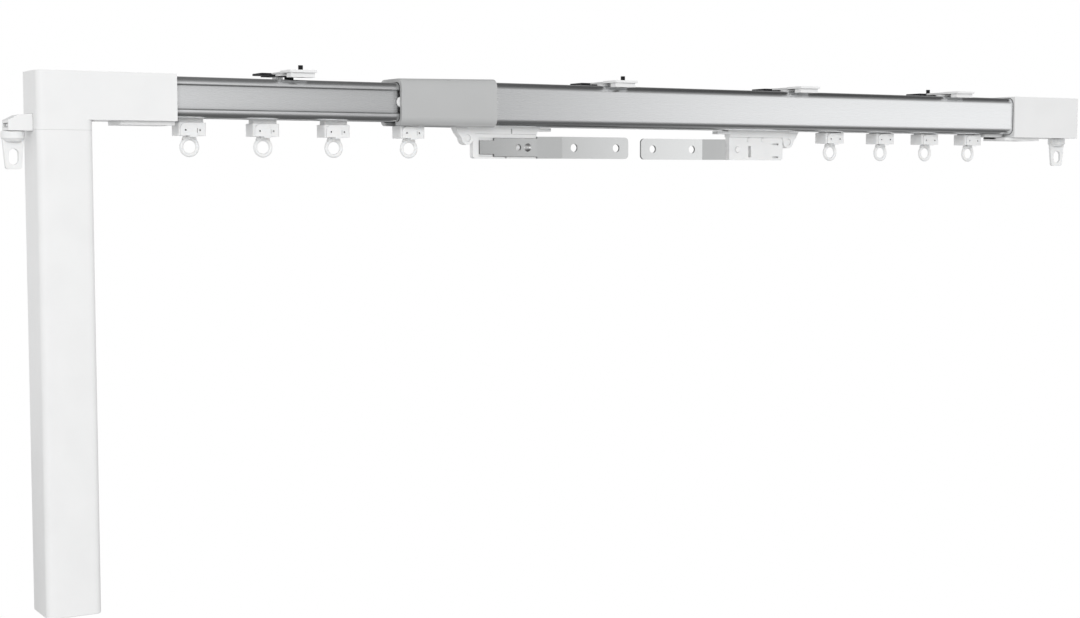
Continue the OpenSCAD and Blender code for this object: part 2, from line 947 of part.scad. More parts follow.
module end_clamp() {
  key_w = slot_w - 0.6;
  color(white)
    difference() {
      union() {
        translate([at((clamp_x[0] + clamp_x[1]) / 2), 0, clamp_bottom])
          linear_extrude(wide_bottom - clamp_bottom)
            round_rect(clamp_x[1] - clamp_x[0], clamp_w, 2);
        slab(
          [at(clamp_x[0] + 2), at(clamp_x[1] - 2)],
          [-key_w / 2, key_w / 2],
          [wide_bottom - seat, wide_bottom + clamp_key_h]
        );
      }
      for (x = clamp_screw_x)
        translate([at(x), 0, 0])
          rod(base_screw_r + run_fit, clamp_bottom - cut, wide_bottom + clamp_key_h + cut);
    }
}

module end_box_screws() {
  color(dark) {
    base_screws(end_bottom, end_screw_x);
    for (x = clamp_screw_x)
      translate([at(x), 0, clamp_bottom])
        cap_screw(base_screw_r, 2.4, 1.3, clamp_key_h + 1);
  }
}

module idler_axle() {
  color(metal)
    translate([at(idler_x), 0, 0])
      rod(shaft_r, end_bottom + 0.7, end_top - case_wall);
}

// end hooks

// top of the hook arm at its knee and at its outer end
knee_x = -0.58 * hook_arm_l;
knee_z = hook_arm_top - 0.8;
tip_z = hook_arm_top - 3.8;

module hook_arm() {
  wall = 1.8;
  root = -2.5;
  color(white)
    translate([at(0), 0, 0])
      difference() {
        union() {
          along_y(-hook_arm_w / 2, hook_arm_w / 2)
            polygon([
              [0, hook_arm_bottom],
              [0, hook_arm_top],
              [knee_x, knee_z],
              [-hook_arm_l, tip_z],
              [-hook_arm_l, hook_arm_bottom]
            ]);
          slab(
            [-cut, case_wall],
            [-notch_w / 2 + seat, notch_w / 2 - seat],
            [seam_z + seat, ledge_top]
          );
        }
        along_y(-hook_arm_w / 2 + wall, hook_arm_w / 2 - wall)
          polygon([
            [root, ledge_top],
            [root, knee_z - wall],
            [knee_x, knee_z - wall],
            [-hook_arm_l, tip_z - wall],
            [-hook_arm_l - cut, tip_z - wall],
            [-hook_arm_l - cut, ledge_top]
          ]);
        translate([left_hook_x, 0, 0])
          rod(stem_r + run_fit, hook_arm_bottom - cut, ledge_top + cut);
      }
}

// swivel hook hanging from z = 0, its tag spread along X
module end_hook() {
  collar_h = 4;
  cone_h = 2;
  tag_top_w = 12.4;
  tag_low_w = 9.6;
  tag_r = 1.8;
  bottom = -hook_l;
  eye_z = [bottom + 5.4, bottom + 9.1];
  rod(stem_r, -collar_h / 2, stem_l);
  rod(stem_head_r, stem_l, stem_l + stem_head_t);
  rod(collar_r, -collar_h, 0);
  translate([0, 0, -collar_h - cone_h])
    cylinder(r1 = collar_r - cone_h, r2 = collar_r, h = cone_h);
  along_y(-tag_t / 2, tag_t / 2)
    difference() {
      union() {
        polygon([
          [-tag_top_w / 2, -collar_h],
          [tag_top_w / 2, -collar_h],
          [tag_low_w / 2, bottom + tag_r],
          [-tag_low_w / 2, bottom + tag_r]
        ]);
        translate([-tag_low_w / 2 + tag_r, bottom])
          square([tag_low_w - 2 * tag_r, 2 * tag_r]);
        for (side = [-1, 1])
          translate([side * (tag_low_w / 2 - tag_r), bottom + tag_r])
            circle(tag_r);
      }
      translate([-eye_w / 2, eye_z[0]])
        square([eye_w, eye_z[1] - eye_z[0]]);
      for (z = eye_z)
        translate([0, z])
          circle(eye_w / 2);
    }
}

module left_end_hook() {
  color(white)
    translate([at(left_hook_x), 0, hook_arm_bottom - turn_gap])
      end_hook();
}

module right_end_hook() {
  color(white)
    translate([at(right_hook_x), 0, end_bottom - turn_gap])
      rotate([0, 0, right_hook_turn])
        end_hook();
}

// gliders and rings

body_z = hang_z - glider_h;
ring_stem_r = 2.1;
ring_head_r = 3.2;
ring_head_t = 1.6;
ring_lip = 2.2;
ring_z = body_z - ring_gap - ring_r - wire_r;

module glider(x) {
  foot_l = glider_l - 1.6;
  neck_l = glider_l - 2.2;
  front = -glider_d / 2;
  set_back = 0.9;
  clip_x = 2.6;
  clip_r = 3.4;
  clip_drop = 0.8;
  pin_r = 0.6;
  slit_w = 0.6;
  slit_z = [body_z + 1.8, body_z + 4.6];
  pocket_z = body_z + ring_lip;
  color(white)
    translate([at(x), 0, 0])
      difference() {
        union() {
          translate([0, 0, foot_bottom])
            linear_extrude(foot_h)
              round_rect(foot_l, foot_w, 2);
          slab([-neck_l / 2, neck_l / 2], [-neck_w / 2, neck_w / 2], [hang_z - cut, foot_bottom + cut]);
          translate([0, set_back / 2, body_z])
            linear_extrude(glider_h)
              round_rect(glider_l, glider_d - set_back, 1.2);
          along_y(front, front + 2 * set_back) {
            translate([-glider_l / 2 + 1, body_z])
              square([glider_l / 2 - 1 + clip_x, glider_h - clip_r]);
            translate([-glider_l / 2 + 1 + clip_r, body_z])
              square([glider_l / 2 - 1 + clip_x - 2 * clip_r, glider_h - 0.4]);
            for (cx = [-glider_l / 2 + 1 + clip_r, clip_x - clip_r])
              translate([cx, hang_z - clip_r - 0.4])
                circle(clip_r);
            translate([clip_x - 4.4, body_z - clip_drop])
              square([4.4, 2 * clip_drop]);
          }
        }
        rod(ring_stem_r + run_fit, body_z - clip_drop - cut, pocket_z + seat);
        rod(ring_head_r + turn_gap, pocket_z, pocket_z + ring_head_t + 2 * turn_gap);
        slab([clip_x, clip_x + slit_w], [front - cut, front + 2.4], slit_z);
        for (px = [-4.6, 4.8])
          translate([px, front - cut, body_z + glider_h * 0.42])
            rotate([-90, 0, 0])
              rod(pin_r, 0, 2.4);
      }
}

module ring(x) {
  neck_t = 2 * wire_r - 0.2;
  neck_top_w = 7.4;
  neck_low_w = 9.2;
  neck_z = [ring_z + ring_r - wire_r / 2, body_z - turn_gap];
  color(white)
    translate([at(x), 0, 0]) {
      along_y(-neck_t / 2, neck_t / 2)
        polygon([
          [-neck_top_w / 2, neck_z[1]],
          [neck_top_w / 2, neck_z[1]],
          [neck_low_w / 2, neck_z[0]],
          [-neck_low_w / 2, neck_z[0]]
        ]);
      translate([0, 0, ring_z])
        rotate([90, 0, 0])
          rotate_extrude()
            translate([ring_r, 0])
              circle(wire_r);
      rod(ring_stem_r, ring_z + ring_r - wire_r / 3, body_z + ring_lip + turn_gap + ring_head_t / 2);
      rod(ring_head_r, body_z + ring_lip + turn_gap, body_z + ring_lip + turn_gap + ring_head_t);
    }
}

// master carriers, drawn with the outer end at x = 0 and the arm on the front

plate_x0 = 14;
plate_x1 = 63;
plate_top = hang_z - flange_h;
plate_bottom = plate_top - carrier_h;
arm_x0 = 18.5;
arm_x1 = plate_x1;
arm_x2 = arm_x1 + 15.6;
arm_x3 = arm_x2 + arm_flat;
arm_mid = plate_bottom + arm_h / 2 + 0.1;
arm_main_h = arm_h - 2.6;
arm_tongue_h = arm_h - 5.9;
arm_tongue_l = 11;
arm_sink = 0.5;
arm_back_y = -carrier_t / 2 + arm_sink;
rivet_x = 55.6;
rivet_r = 1.2;
spare_hole_x = 48.4;
spare_hole_r = 2.1;
pin_x = 38.9;
pin_z = plate_bottom + 0.7;
pin_r = 0.5;
pin_depth = 2.4;
clamp_mid = carrier_l / 2;
clamp_l = 16;

module carrier_body() {
  foot_x = [7, carrier_l - 7];
  neck_x = [9, carrier_l - 9];
  lobe_r = 4.4;
  lobe_x = 9.4;
  lobe_z = plate_top - 3.2;
  dimple = 0.8;
  button_r = 1.4;
  button_t = 0.5;
  notch_h = 1.2;
  flange_y = neck_w / 2 - 0.6;
  difference() {
    union() {
      translate([(foot_x[0] + foot_x[1]) / 2, 0, foot_bottom])
        linear_extrude(foot_h)
          round_rect(foot_x[1] - foot_x[0], foot_w, 2);
      slab(neck_x, [-neck_w / 2, neck_w / 2], [hang_z - cut, foot_bottom + cut]);
      along_y(-flange_y, flange_y)
        polygon([
          [0, hang_z],
          [carrier_l, hang_z],
          [carrier_l, plate_top + 2],
          [plate_x1, plate_top + 2],
          [plate_x1, plate_top],
          [2.2, plate_top]
        ]);
      along_y(-flange_y, flange_y) {
        polygon([
          [2, plate_top + 0.4],
          [plate_x0 + 1, plate_top + 0.4],
          [lobe_x + lobe_r, lobe_z],
          [lobe_x - lobe_r, lobe_z]
        ]);
        translate([lobe_x, lobe_z])
          circle(lobe_r);
      }
      for (x = [32.7, 45.6])
        translate([x, carrier_t / 2, plate_top - 2])
          rotate([-90, 0, 0])
            rod(button_r, -cut, button_t);
      along_y(-carrier_t / 2, carrier_t / 2) {
        translate([plate_x0 + 2, plate_bottom])
          square([plate_x1 - plate_x0 - 2, carrier_h + cut]);
        translate([plate_x0, plate_bottom + 2])
          square([plate_x1 - plate_x0, carrier_h - 2 + cut]);
        translate([plate_x0 + 2, plate_bottom + 2])
          circle(2);
      }
    }
    slab(
      [arm_x0 - seat, plate_x1 + cut],
      [-carrier_t, arm_back_y],
      [arm_mid - arm_main_h / 2 - seat, arm_mid + arm_main_h / 2 + seat]
    );
    translate([rivet_x, 0, arm_mid])
      rotate([90, 0, 0])
        rod(rivet_r + run_fit, -carrier_t, carrier_t);
    translate([pin_x, -carrier_t / 2, pin_z])
      rotate([-90, 0, 0])
        rod(pin_r + run_fit, -cut, pin_depth + seat);
    slab([43.2, 45.6], [arm_back_y - cut, carrier_t], [arm_mid - 5.5, arm_mid + 2.5]);
    for (z = [arm_mid + 3.5, arm_mid - 6])
      slab([17.8, 23.4], [carrier_t / 2 - 2 * dimple, carrier_t], [z, z + notch_h]);
    slab([42.6, 43.4], [-flange_y - cut, -flange_y + dimple], [plate_top - cut, hang_z - dimple]);
    for (side = [-1, 1])
      translate([lobe_x, side * flange_y, lobe_z])
        rotate([90, 0, 0])
          cylinder(r = lobe_r - 1.9, h = 2 * dimple, center = true);
  }
}

module overlap_arm() {
  lean = atan2(arm_step, arm_x2 - arm_x1);
  miter = arm_t * tan(lean / 2);
  back = arm_back_y;
  front = back - arm_t;
  end_r = 3;
  difference() {
    intersection() {
      translate([0, 0, arm_mid - arm_h])
        linear_extrude(2 * arm_h)
          polygon([
            [arm_x0, back],
            [arm_x1, back],
            [arm_x2, back - arm_step],
            [arm_x3, back - arm_step],
            [arm_x3, front - arm_step],
            [arm_x2 - miter, front - arm_step],
            [arm_x1 - miter, front],
            [arm_x0, front]
          ]);
      along_y(-4 * arm_step, carrier_t)
        translate([0, arm_mid]) {
          translate([arm_x0, -arm_tongue_h / 2])
            square([arm_tongue_l + cut, arm_tongue_h]);
          translate([arm_x0 + arm_tongue_l, -arm_main_h / 2])
            square([arm_x1 - arm_x0 - arm_tongue_l + cut, arm_main_h]);
          translate([arm_x1, -arm_h / 2])
            square([2 * end_r, arm_h]);
          translate([(arm_x1 + arm_x3) / 2, 0])
            round_rect(arm_x3 - arm_x1, arm_h, end_r);
        }
    }
    for (x = [arm_x2 + 9.3, arm_x3 - 10.1])
      translate([x, 0, arm_mid])
        rotate([90, 0, 0])
          rod(arm_hole_r, -carrier_t, 4 * arm_step);
    translate([rivet_x, 0, arm_mid])
      rotate([90, 0, 0])
        rod(rivet_r + run_fit, -carrier_t, 2 * arm_step);
    translate([spare_hole_x, 0, arm_mid])
      rotate([90, 0, 0])
        rod(spare_hole_r, -carrier_t, 2 * arm_step);
  }
}

// domed rivet through arm and carrier, and a small pin in the carrier under the arm
module arm_rivets() {
  front = arm_back_y - arm_t;
  back = -carrier_t / 2;
  flange_t = 0.5;
  tail_r = 2.2;
  dome_r = 2.9;
  dome_h = 1.2;
  dome_ball_r = (dome_r * dome_r + dome_h * dome_h) / (2 * dome_h);
  translate([rivet_x, 0, arm_mid])
    rotate([90, 0, 0]) {
      rod(rivet_r, back - flange_t, -front + dome_h / 2);
      rod(tail_r, back - flange_t, back);
      translate([0, 0, -front])
        rotate_extrude()
          intersection() {
            translate([0, dome_h - dome_ball_r])
              circle(dome_ball_r);
            square([dome_r, dome_h]);
          }
    }
  translate([pin_x, back, pin_z])
    rotate([-90, 0, 0])
      rod(pin_r, -flange_t, pin_depth);
}

module belt_clamp() {
  slit = belt_t + 2 * grip_gap;
  jaw = 2 * jaw_t + slit;
  top = belt_z + belt_w / 2 + 0.8;
  translate([clamp_mid - clamp_l / 2, -pitch_r - jaw / 2, foot_top])
    difference() {
      cube([clamp_l, jaw, top - foot_top]);
      translate([-cut, jaw_t, belt_z - belt_w / 2 - grip_gap - foot_top])
        cube([clamp_l + 2 * cut, slit, 2 * belt_w]);
    }
}

module on_left() {
  translate([at(left_carrier_x), 0, 0])
    children();
}

module on_right() {
  translate([at(right_carrier_x), 0, 0])
    rotate([0, 0, 180])
      children();
}

module left_carrier_body() {
  color(white)
    on_left()
      carrier_body();
}

module left_overlap_arm() {
  color(metal)
    on_left()
      overlap_arm();
}

module left_arm_rivets() {
  color(metal)
    on_left()
      arm_rivets();
}

module left_belt_clamp() {
  color(grey)
    on_left()
      belt_clamp();
}

module right_carrier_body() {
  color(white)
    on_right()
      carrier_body();
}

module right_overlap_arm() {
  color(metal)
    on_right()
      overlap_arm();
}

module right_arm_rivets() {
  color(metal)
    on_right()
      arm_rivets();
}

module right_belt_clamp() {
  color(grey)
    on_right()
      belt_clamp();
}

motor_housing();
motor_bottom_cap();
motor_mount();
gearbox();
dc_motor();
control_board();
shaft_bearings();
drive_box_shell();
drive_box_base();
drive_box_screws();
narrow_rail();
drive_belt();
hook_arm();
first_bracket_plate();
first_bracket_screw();
drive_pulley();
drive_shaft();
set_button();
first_bracket_latch();
left_end_hook();
wide_rail();
joining_sleeve();
sleeve_guides();
end_box_shell();
end_box_base();
end_clamp();
end_box_screws();
idler_axle();
bracket_plates();
bracket_screws();
idler_pulley();
idler_bush();
second_bracket_latch();
third_bracket_latch();
fourth_bracket_latch();
right_end_hook();
left_carrier_body();
left_overlap_arm();
left_arm_rivets();
left_belt_clamp();
right_carrier_body();
right_overlap_arm();
right_arm_rivets();
right_belt_clamp();
for (i = [0 : 3]) {
  glider(left_glider_x[i]);
  glider(right_glider_x[i]);
  ring(left_glider_x[i]);
  ring(right_glider_x[i]);
}
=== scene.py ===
import json
import math

import bmesh
import bpy
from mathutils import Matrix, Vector

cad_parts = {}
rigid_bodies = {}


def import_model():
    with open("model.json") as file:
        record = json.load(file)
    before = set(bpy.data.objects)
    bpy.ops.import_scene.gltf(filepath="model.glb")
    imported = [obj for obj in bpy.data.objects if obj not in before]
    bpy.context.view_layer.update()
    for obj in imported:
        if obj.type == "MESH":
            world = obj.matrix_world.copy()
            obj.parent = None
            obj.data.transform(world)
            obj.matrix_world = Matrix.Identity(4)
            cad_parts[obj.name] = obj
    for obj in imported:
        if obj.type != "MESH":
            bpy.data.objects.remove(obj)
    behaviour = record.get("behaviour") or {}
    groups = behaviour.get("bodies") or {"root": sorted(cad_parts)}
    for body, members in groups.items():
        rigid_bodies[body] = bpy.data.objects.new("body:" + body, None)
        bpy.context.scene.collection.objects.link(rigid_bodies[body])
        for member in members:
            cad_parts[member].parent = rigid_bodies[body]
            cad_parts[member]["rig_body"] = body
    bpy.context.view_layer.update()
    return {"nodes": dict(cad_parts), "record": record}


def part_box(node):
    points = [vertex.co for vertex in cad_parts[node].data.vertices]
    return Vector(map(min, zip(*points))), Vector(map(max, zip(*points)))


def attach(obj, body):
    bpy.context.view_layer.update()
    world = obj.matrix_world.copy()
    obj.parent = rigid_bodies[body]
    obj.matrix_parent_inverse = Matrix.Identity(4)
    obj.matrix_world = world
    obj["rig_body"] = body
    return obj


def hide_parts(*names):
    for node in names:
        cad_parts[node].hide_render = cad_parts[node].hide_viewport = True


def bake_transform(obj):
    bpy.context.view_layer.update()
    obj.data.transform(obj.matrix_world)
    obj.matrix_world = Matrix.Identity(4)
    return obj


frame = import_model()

MM = 0.001

nodes = frame["nodes"]
node_slot = {s["node"]: s["material_slot"] for s in frame["record"]["subparts"]}
scene = bpy.context.scene
scene.view_settings.view_transform = "Standard"


# camera: fitted to the photograph

PHOTO_WIDTH = 1080      # pixels
FOCAL_LENGTH = 1775.8   # pixels
SENSOR_WIDTH = 36.0
CAMERA_PLACE = Vector((-436.3, -1051.4, -66.0)) * MM
LOOK_DOWN = 4.26
LOOK_RIGHT = 30.53

camera_data = bpy.data.cameras.new("camera")
camera_data.sensor_width = SENSOR_WIDTH
camera_data.lens = FOCAL_LENGTH / PHOTO_WIDTH * SENSOR_WIDTH
camera_data.clip_end = 60.0
camera = bpy.data.objects.new("camera", camera_data)
camera.location = CAMERA_PLACE
camera.rotation_euler = (math.radians(90 - LOOK_DOWN), 0, math.radians(-LOOK_RIGHT))
scene.collection.objects.link(camera)
scene.camera = camera


# shader nodes

NOISE_SPAN = (0.3, 0.7)   # nearly all noise values lie between these


def new_material(name):
    material = bpy.data.materials.new(name)
    material.use_nodes = True
    tree = material.node_tree
    place = tree.nodes.new("ShaderNodeTexCoord").outputs["Object"]
    return material, tree, tree.nodes["Principled BSDF"], place


def noise(tree, place, scale, detail, rough=0.5):
    """Noise whose scale is given per metre on each axis."""
    mapping = tree.nodes.new("ShaderNodeMapping")
    mapping.inputs["Scale"].default_value = scale
    tree.links.new(place, mapping.inputs["Vector"])
    texture = tree.nodes.new("ShaderNodeTexNoise")
    texture.inputs["Scale"].default_value = 1.0
    texture.inputs["Detail"].default_value = detail
    texture.inputs["Roughness"].default_value = rough
    tree.links.new(mapping.outputs["Vector"], texture.inputs["Vector"])
    return texture.outputs["Fac"]


def mapped(tree, value, source, target=(0.0, 1.0), kind="LINEAR"):
    """A value moved from the span source to the span target."""
    node = tree.nodes.new("ShaderNodeMapRange")
    node.interpolation_type = kind
    for socket, number in zip(("From Min", "From Max", "To Min", "To Max"), (*source, *target)):
        node.inputs[socket].default_value = number
    tree.links.new(value, node.inputs["Value"])
    return node.outputs["Result"]


def two_tone(tree, value, dark, light):
    ramp = tree.nodes.new("ShaderNodeValToRGB")
    for element, position, color in zip(ramp.color_ramp.elements, NOISE_SPAN, (dark, light)):
        element.position = position
        element.color = (*color, 1)
    tree.links.new(value, ramp.inputs["Fac"])
    return ramp.outputs["Color"]


def length_of(tree, vector):
    node = tree.nodes.new("ShaderNodeVectorMath")
    node.operation = "LENGTH"
    tree.links.new(vector, node.inputs[0])
    return node.outputs["Value"]


def axis_of(tree, vector, axis):
    node = tree.nodes.new("ShaderNodeSeparateXYZ")
    tree.links.new(vector, node.inputs["Vector"])
    return node.outputs[axis]


def mixed(tree, factor, first, second):
    node = tree.nodes.new("ShaderNodeMixShader")
    tree.links.new(factor, node.inputs["Fac"])
    tree.links.new(first, node.inputs[1])
    tree.links.new(second, node.inputs[2])
    return node.outputs["Shader"]


def either(tree, first, second):
    node = tree.nodes.new("ShaderNodeMath")
    node.operation = "MAXIMUM"
    tree.links.new(first, node.inputs[0])
    tree.links.new(second, node.inputs[1])
    return node.outputs["Value"]


def seen(tree):
    """1 for rays that show the background: the camera's, and those that metal and glass send on."""
    rays = tree.nodes.new("ShaderNodeLightPath").outputs
    return either(tree, rays["Is Camera Ray"], either(tree, rays["Is Glossy Ray"], rays["Is Transmission Ray"]))


def bump(tree, shader, value, height, strength):
    node = tree.nodes.new("ShaderNodeBump")
    node.inputs["Distance"].default_value = height
    node.inputs["Strength"].default_value = strength
    tree.links.new(value, node.inputs["Height"])
    tree.links.new(node.outputs["Normal"], shader.inputs["Normal"])


def shaded_by(tree, color, value, span, darkest):
    """A colour multiplied by a grey that runs from darkest to white as a value runs over a span."""
    scaled = tree.nodes.new("ShaderNodeVectorMath")
    scaled.operation = "SCALE"
    tree.links.new(color, scaled.inputs[0])
    tree.links.new(mapped(tree, value, span, (darkest, 1.0)), scaled.inputs["Scale"])
    return scaled.outputs["Vector"]


def openness(tree, reach):
    """How open the surface is within reach: 1 on a free face, 0 deep in a seam."""
    hollow = tree.nodes.new("ShaderNodeAmbientOcclusion")
    hollow.samples = 8
    hollow.inputs["Distance"].default_value = reach
    return hollow.outputs["AO"]


# materials

def plastic(name, color, rough, grain=2200.0, height=0.02 * MM, tone=0.03, soft=0.0, painted_shade_reach=0.0):
    """Moulded plastic: faint mottling, fine grain, uneven gloss, and painted shade: colour darkened by ambient
    occlusion in crevices within a distance.
    """
    material, tree, shader, place = new_material(name)
    mottling = noise(tree, place, (45, 45, 45), 4.0)
    tone_and_shade = two_tone(tree, mottling, tuple(c * (1 - tone) for c in color), color)
    # painted shade: the colour is darkened where ambient occlusion finds crevices, joints and contact gaps
    # within the given reach
    if painted_shade_reach:
        tone_and_shade = shaded_by(tree, tone_and_shade, openness(tree, painted_shade_reach), (0.15, 0.7), 0.3)
    tree.links.new(tone_and_shade, shader.inputs["Base Color"])
    grains = noise(tree, place, (grain, grain, grain), 2.0)
    gloss = mapped(tree, grains, NOISE_SPAN, (rough - 0.04, rough + 0.05))
    tree.links.new(gloss, shader.inputs["Roughness"])
    bump(tree, shader, grains, height, 0.5)
    if soft:
        shader.inputs["Subsurface Weight"].default_value = soft
        shader.inputs["Subsurface Radius"].default_value = (1.0, 0.95, 0.9)
        shader.inputs["Subsurface Scale"].default_value = 1.5 * MM
    return material


def metal(name, color, rough, run, tone=0.06, height=0.012 * MM, span=0.08, edge_shade=0.0, painted_shade_reach=0.0):
    """Metal with fine lines along the axis whose scale in run is small.

    Painted shade: faces that don't look along Y, which are cut edges, are darkened to the given level, and
    crevices within a given reach are darkened by ambient occlusion.
    """
    material, tree, shader, place = new_material(name)
    lines = noise(tree, place, run, 5.0, 0.6)
    tone_and_shade = two_tone(tree, lines, tuple(c * (1 - tone) for c in color), color)
    # painted shade: faces that don't look along Y, the plate's cut edges, are darkened as if in shadow
    if edge_shade:
        facing = tree.nodes.new("ShaderNodeMath")
        facing.operation = "ABSOLUTE"
        tree.links.new(axis_of(tree, place.node.outputs["Normal"], "Y"), facing.inputs[0])
        tone_and_shade = shaded_by(tree, tone_and_shade, facing.outputs["Value"], (0.3, 0.75), edge_shade)
    # painted shade: the colour is darkened where ambient occlusion finds crevices within the given reach
    if painted_shade_reach:
        tone_and_shade = shaded_by(tree, tone_and_shade, openness(tree, painted_shade_reach), (0.3, 0.95), 0.35)
    tree.links.new(tone_and_shade, shader.inputs["Base Color"])
    shader.inputs["Metallic"].default_value = 1.0
    gloss = mapped(tree, lines, NOISE_SPAN, (rough - span / 2, rough + span / 2))
    tree.links.new(gloss, shader.inputs["Roughness"])
    bump(tree, shader, lines, height, 0.6)
    return material


def painted(name, color, rough, gloss):
    """Dark painted or blackened steel with scuffs."""
    material, tree, shader, place = new_material(name)
    shader.inputs["Specular IOR Level"].default_value = gloss
    scuffs = noise(tree, place, (160, 160, 160), 6.0, 0.65)
    lighter = tuple(c * 1.5 + 0.004 for c in color)
    tree.links.new(two_tone(tree, scuffs, color, lighter), shader.inputs["Base Color"])
    fine = noise(tree, place, (1500, 1500, 1500), 2.0)
    uneven = mapped(tree, fine, NOISE_SPAN, (rough - 0.08, rough + 0.08))
    tree.links.new(uneven, shader.inputs["Roughness"])
    bump(tree, shader, fine, 0.03 * MM, 0.5)
    return material


RAIL_FINISH = {"color": (0.93, 0.94, 0.95), "rough": 0.27, "run": (0.4, 5200, 5200), "tone": 0.02,
               "height": 0.0004 * MM, "span": 0.03}
TURNED = (900, 900, 30)

# the white plastics get painted shade in their crevices within the given reach
white = plastic("white_abs", (0.865, 0.868, 0.868), 0.34, painted_shade_reach=1.2 * MM)
nylon = plastic("white_nylon", (0.88, 0.885, 0.885), 0.38, grain=1500.0, tone=0.04, soft=0.25,
                painted_shade_reach=1.2 * MM)
sleeve_grey = plastic("sleeve_grey_abs", (0.495, 0.50, 0.50), 0.42, grain=1800.0, height=0.03 * MM)
inner_grey = plastic("inner_grey_abs", (0.30, 0.31, 0.32), 0.5)
rubber = plastic("belt_rubber", (0.025, 0.025, 0.027), 0.7, grain=900.0, height=0.08 * MM, tone=0.2)
board = plastic("circuit_board", (0.02, 0.13, 0.06), 0.35, grain=600.0, tone=0.25)
aluminium = metal("anodised_aluminium", **RAIL_FINISH)
# the narrow rail gets painted shade in its crevices and near the sleeve mouth; the steel arms get painted shade
# on their cut edges
narrow_aluminium = metal("anodised_aluminium_narrow", **RAIL_FINISH, painted_shade_reach=5 * MM)
steel = metal("galvanised_steel", (0.91, 0.92, 0.92), 0.22, (12, 3600, 3600), tone=0.02,
              height=0.0015 * MM, span=0.04, edge_shade=0.22)
polished = metal("polished_rivet", (0.88, 0.88, 0.88), 0.12, (300, 300, 300), tone=0.03, height=0.002 * MM)
turned = metal("turned_steel", (0.66, 0.66, 0.67), 0.28, TURNED)
can = metal("zinc_can", (0.42, 0.42, 0.43), 0.36, (700, 700, 20))
brass = metal("turned_brass", (0.72, 0.55, 0.24), 0.3, TURNED)
black = painted("black_screw", (0.008, 0.008, 0.009), 0.42, gloss=0.15)
lever_dark = painted("dark_lever", (0.022, 0.022, 0.024), 0.55, gloss=0.08)

SLOT_MATERIAL = {
    "white_plastic": white, "grey_plastic": inner_grey, "aluminium": aluminium, "steel": steel,
    "motor_can": can, "black_screw": black, "dark_lever": lever_dark, "belt_rubber": rubber,
    "circuit_board": board, "brass": brass,
}
special = {
    "joining_sleeve": sleeve_grey, "narrow_rail": narrow_aluminium, "drive_shaft": turned,
    "idler_axle": turned, "shaft_bearings": turned, "left_arm_rivets": polished, "right_arm_rivets": polished,
}
for name in nodes:
    if "glider" in name or "ring_" in name or name.endswith(("carrier_body", "end_hook")):
        special[name] = nylon


def node_material(name):
    return special.get(name, SLOT_MATERIAL[node_slot[name]])


def paint(obj, material):
    obj.data.materials.clear()
    obj.data.materials.append(material)
    for face in obj.data.polygons:
        face.material_index = 0


for name, obj in nodes.items():
    paint(obj, node_material(name))


# finished copies: the CAD solids with rounded edges

SAME_POINT = 2e-6
FLAT_ANGLE = math.radians(0.5)


def mesh_object(name, work, material):
    """A new object of the scene from a bmesh, which is freed."""
    mesh = bpy.data.meshes.new(name)
    work.to_mesh(mesh)
    work.free()
    obj = bpy.data.objects.new(name, mesh)
    scene.collection.objects.link(obj)
    paint(obj, material)
    return obj


def everywhere(point):
    return 1.0


def finished(name, width, share=everywhere, angle=32.0):
    """A copy of a node with its sharp edges rounded to width, times share(middle of the edge)."""
    source = nodes[name]
    work = bmesh.new()
    work.from_mesh(source.data)
    bmesh.ops.remove_doubles(work, verts=work.verts, dist=SAME_POINT)
    bmesh.ops.dissolve_limit(work, angle_limit=FLAT_ANGLE, verts=work.verts, edges=work.edges)
    layer = work.edges.layers.float.new("bevel_weight_edge")
    for edge in work.edges:
        if len(edge.link_faces) == 2 and edge.calc_face_angle(0) > math.radians(angle):
            edge[layer] = share((edge.verts[0].co + edge.verts[1].co) / 2)
    for face in work.faces:
        face.smooth = True
    copy = mesh_object(name + "_finish", work, node_material(name))
    copy.data.set_sharp_from_angle(angle=math.radians(angle))
    bevel = copy.modifiers.new("edges", "BEVEL")
    bevel.width = width
    bevel.segments = 3
    bevel.limit_method = "WEIGHT"
    bevel.use_clamp_overlap = True
    bevel.harden_normals = True
    bevel.miter_outer = "MITER_ARC"
    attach(copy, source["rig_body"])
    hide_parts(name)
    return copy


def middle(name):
    low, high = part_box(name)
    return (low + high) / 2


seam_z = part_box("motor_housing")[1].z


def near_seam(point):
    """Little rounding where the motor tube meets the drive box."""
    return 0.3 if abs(point.z - seam_z) < 0.2 * MM else 1.0


finished("motor_housing", 0.9 * MM, near_seam)
finished("drive_box_shell", 0.9 * MM, near_seam)
for name in ("end_box_shell", "joining_sleeve"):
    finished(name, 0.7 * MM)
for name in ("drive_box_base", "end_box_base", "end_clamp", "hook_arm", "left_end_hook", "right_end_hook",
             "motor_bottom_cap", "first_bracket_plate", "bracket_plates"):
    finished(name, 0.45 * MM)
for name in ("left_carrier_body", "right_carrier_body"):
    finished(name, 0.4 * MM)
for name in nodes:
    if "_glider_" in name:
        finished(name, 0.5 * MM)


def bends(point):
    """Full rounding on the upright bend lines of a steel arm, little on its cut edges."""
    return 1.0 if abs(point.z - arm_z) < 0.5 * MM else 0.3


for name in ("left_overlap_arm", "right_overlap_arm"):
    arm_z = middle(name).z
    finished(name, 1.0 * MM, bends, angle=15.0)


def ribs(point):
    """Full rounding on the inner edges of the side ribs of the narrow rail."""
    low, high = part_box("narrow_rail")
    on_side = abs(abs(point.y) - high.y) < 0.05 * MM
    rib = min(point.z - low.z, high.z - point.z)
    return 1.0 if on_side and 4.9 * MM < rib < 6.5 * MM else 0.25


HUB_R = 9 * MM


